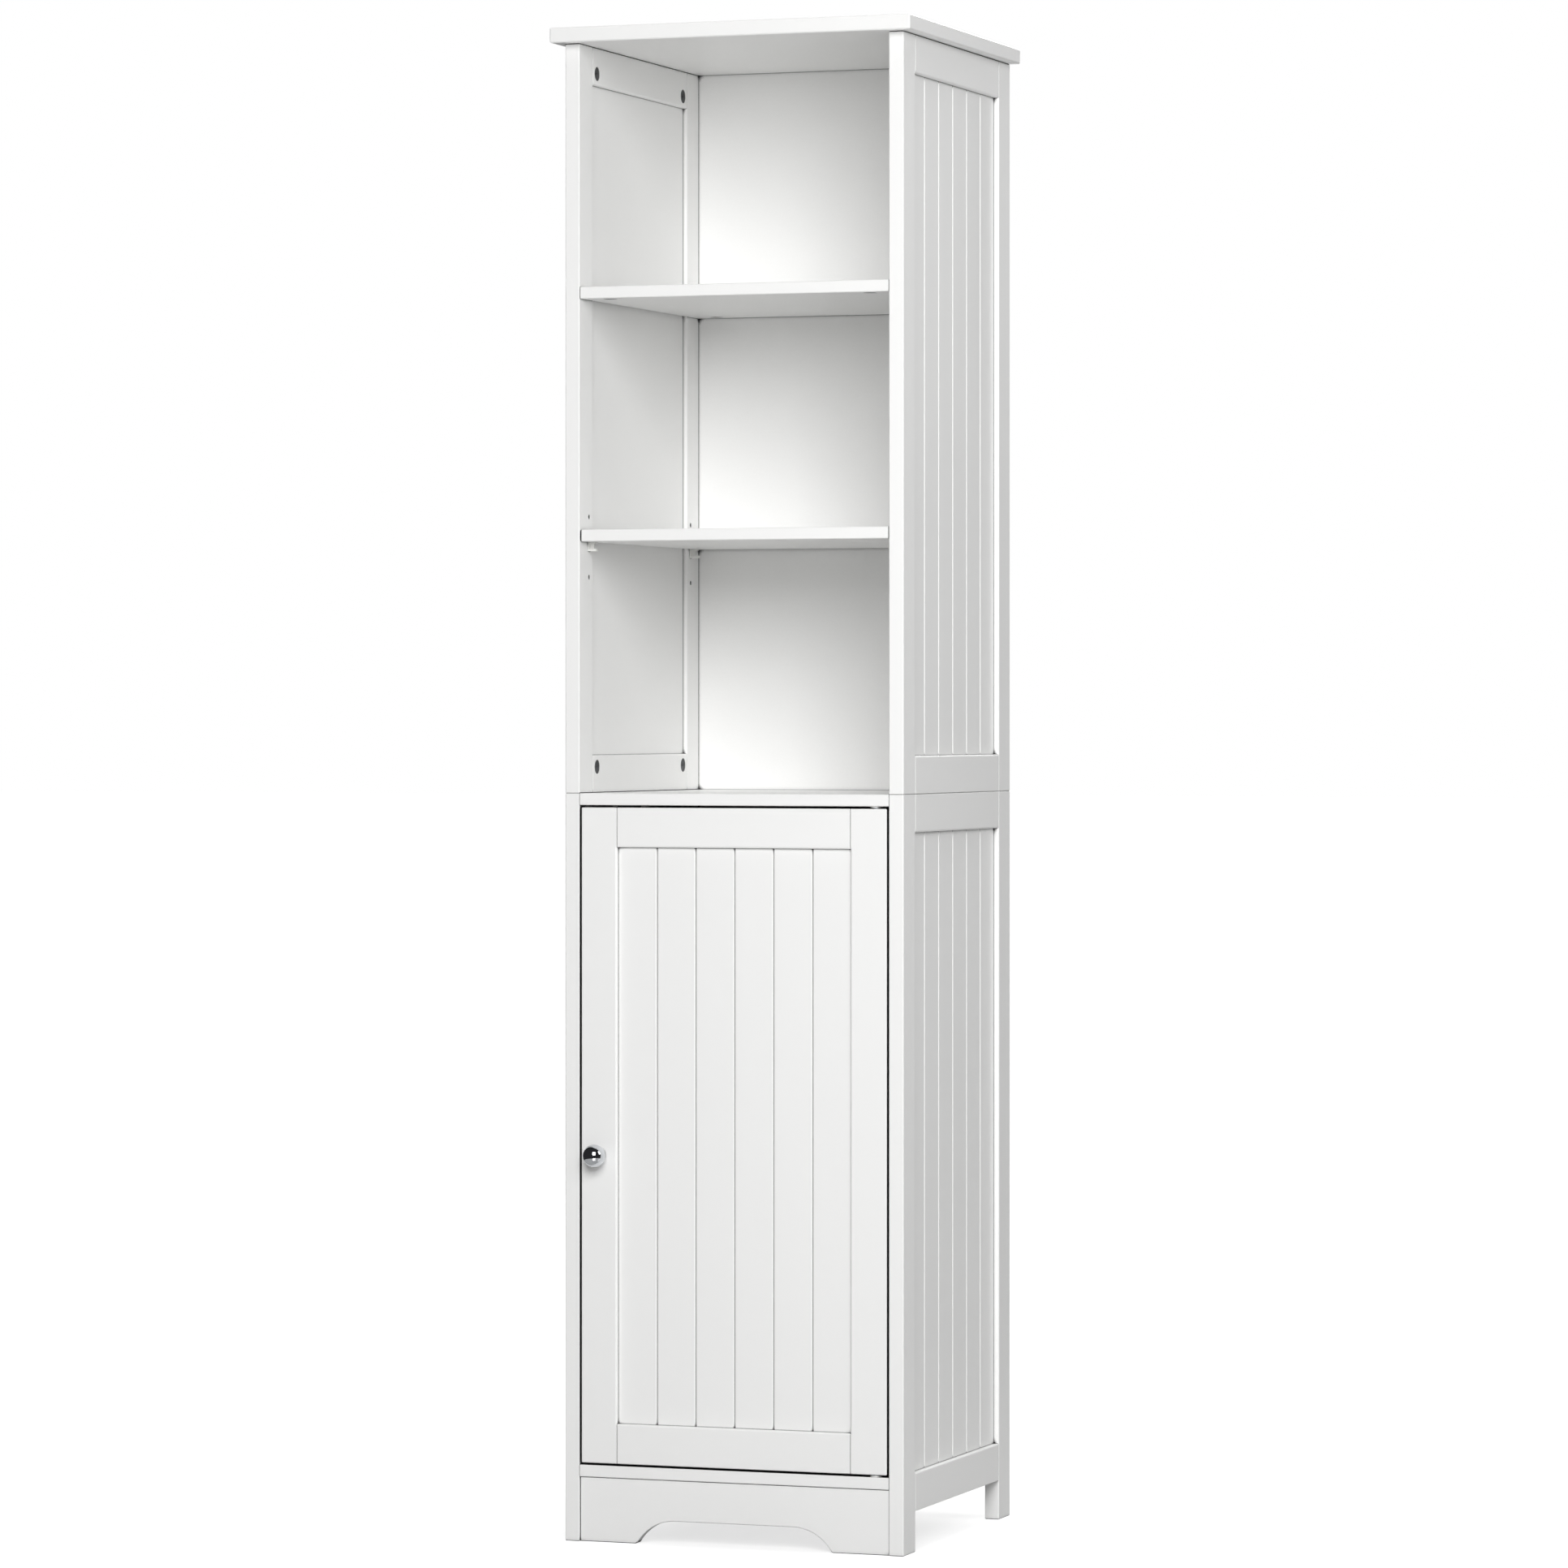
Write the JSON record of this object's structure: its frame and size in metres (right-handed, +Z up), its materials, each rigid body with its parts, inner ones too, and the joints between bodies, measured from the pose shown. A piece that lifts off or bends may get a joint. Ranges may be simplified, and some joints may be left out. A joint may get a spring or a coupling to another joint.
{
  "type": "bathroom cabinet",
  "caption": "Tall narrow bathroom cabinet: overhanging top, open shelves over a cupboard with a grooved inset door and ball knob, panelled sides, arched plinth.",
  "frame": {"origin": "middle of the footprint at floor level, knob included", "axes": "+Z up, +X to the right as seen from the front, door facing -Y"},
  "size_m": [0.402, 0.387, 1.6],
  "materials": {
    "white_painted_board": "satin white paint on fibreboard",
    "white_faced_back": "white paper face on thin fibreboard",
    "polished_chrome": "polished",
    "zinc_casting": "die cast, dull",
    "plated_steel": "bright zinc plate",
    "beech": "fluted, unfinished",
    "white_plastic": "moulded",
    "ferrite": "sintered"
  },
  "bodies": {
    "carcass": {"back_screws": "plated_steel", "block_screws": "plated_steel", "bottom_board": "white_painted_board", "bottom_pivot_bush": "white_plastic", "cam_bolts": "plated_steel", "cam_locks": "zinc_casting", "catch_housing": "white_plastic", "catch_magnet": "ferrite", "catch_pole_plates": "plated_steel", "catch_screws": "plated_steel", "corner_blocks": "white_plastic", "deck_board": "white_painted_board", "fixed_shelf": "white_painted_board", "front_apron": "white_painted_board", "inner_shelf": "white_painted_board", "loose_shelf": "white_painted_board", "lower_back_panel": "white_faced_back", "lower_left_bead_panel": "white_painted_board", "lower_left_bottom_rail": "white_painted_board", "lower_left_front_stile": "white_painted_board", "lower_left_rear_stile": "white_painted_board", "lower_left_top_rail": "white_painted_board", "lower_right_bead_panel": "white_painted_board", "lower_right_bottom_rail": "white_painted_board", "lower_right_front_stile": "white_painted_board", "lower_right_rear_stile": "white_painted_board", "lower_right_top_rail": "white_painted_board", "shelf_pins": "white_plastic", "top_panel": "white_painted_board", "top_pivot_bush": "white_plastic", "upper_back_panel": "white_faced_back", "upper_left_bead_panel": "white_painted_board", "upper_left_bottom_rail": "white_painted_board", "upper_left_front_stile": "white_painted_board", "upper_left_rear_stile": "white_painted_board", "upper_left_top_rail": "white_painted_board", "upper_right_bead_panel": "white_painted_board", "upper_right_bottom_rail": "white_painted_board", "upper_right_front_stile": "white_painted_board", "upper_right_rear_stile": "white_painted_board", "upper_right_top_rail": "white_painted_board", "wood_dowels": "beech"},
    "door": {"bottom_pivot_pin": "plated_steel", "door_bead_panel": "white_painted_board", "door_bottom_rail": "white_painted_board", "door_knob": "polished_chrome", "door_left_stile": "white_painted_board", "door_right_stile": "white_painted_board", "door_top_rail": "white_painted_board", "knob_screw": "plated_steel", "strike_plate": "plated_steel", "strike_screw": "plated_steel", "top_pivot_pin": "plated_steel"}
  },
  "joints": [
    {"name": "door_hinge", "type": "hinge", "parent": "carcass", "child": "door", "pos_m": [0.1565, -0.1585, 0.42975], "axis": [0, 0, 1], "range_deg": [0, 110]}
  ]
}
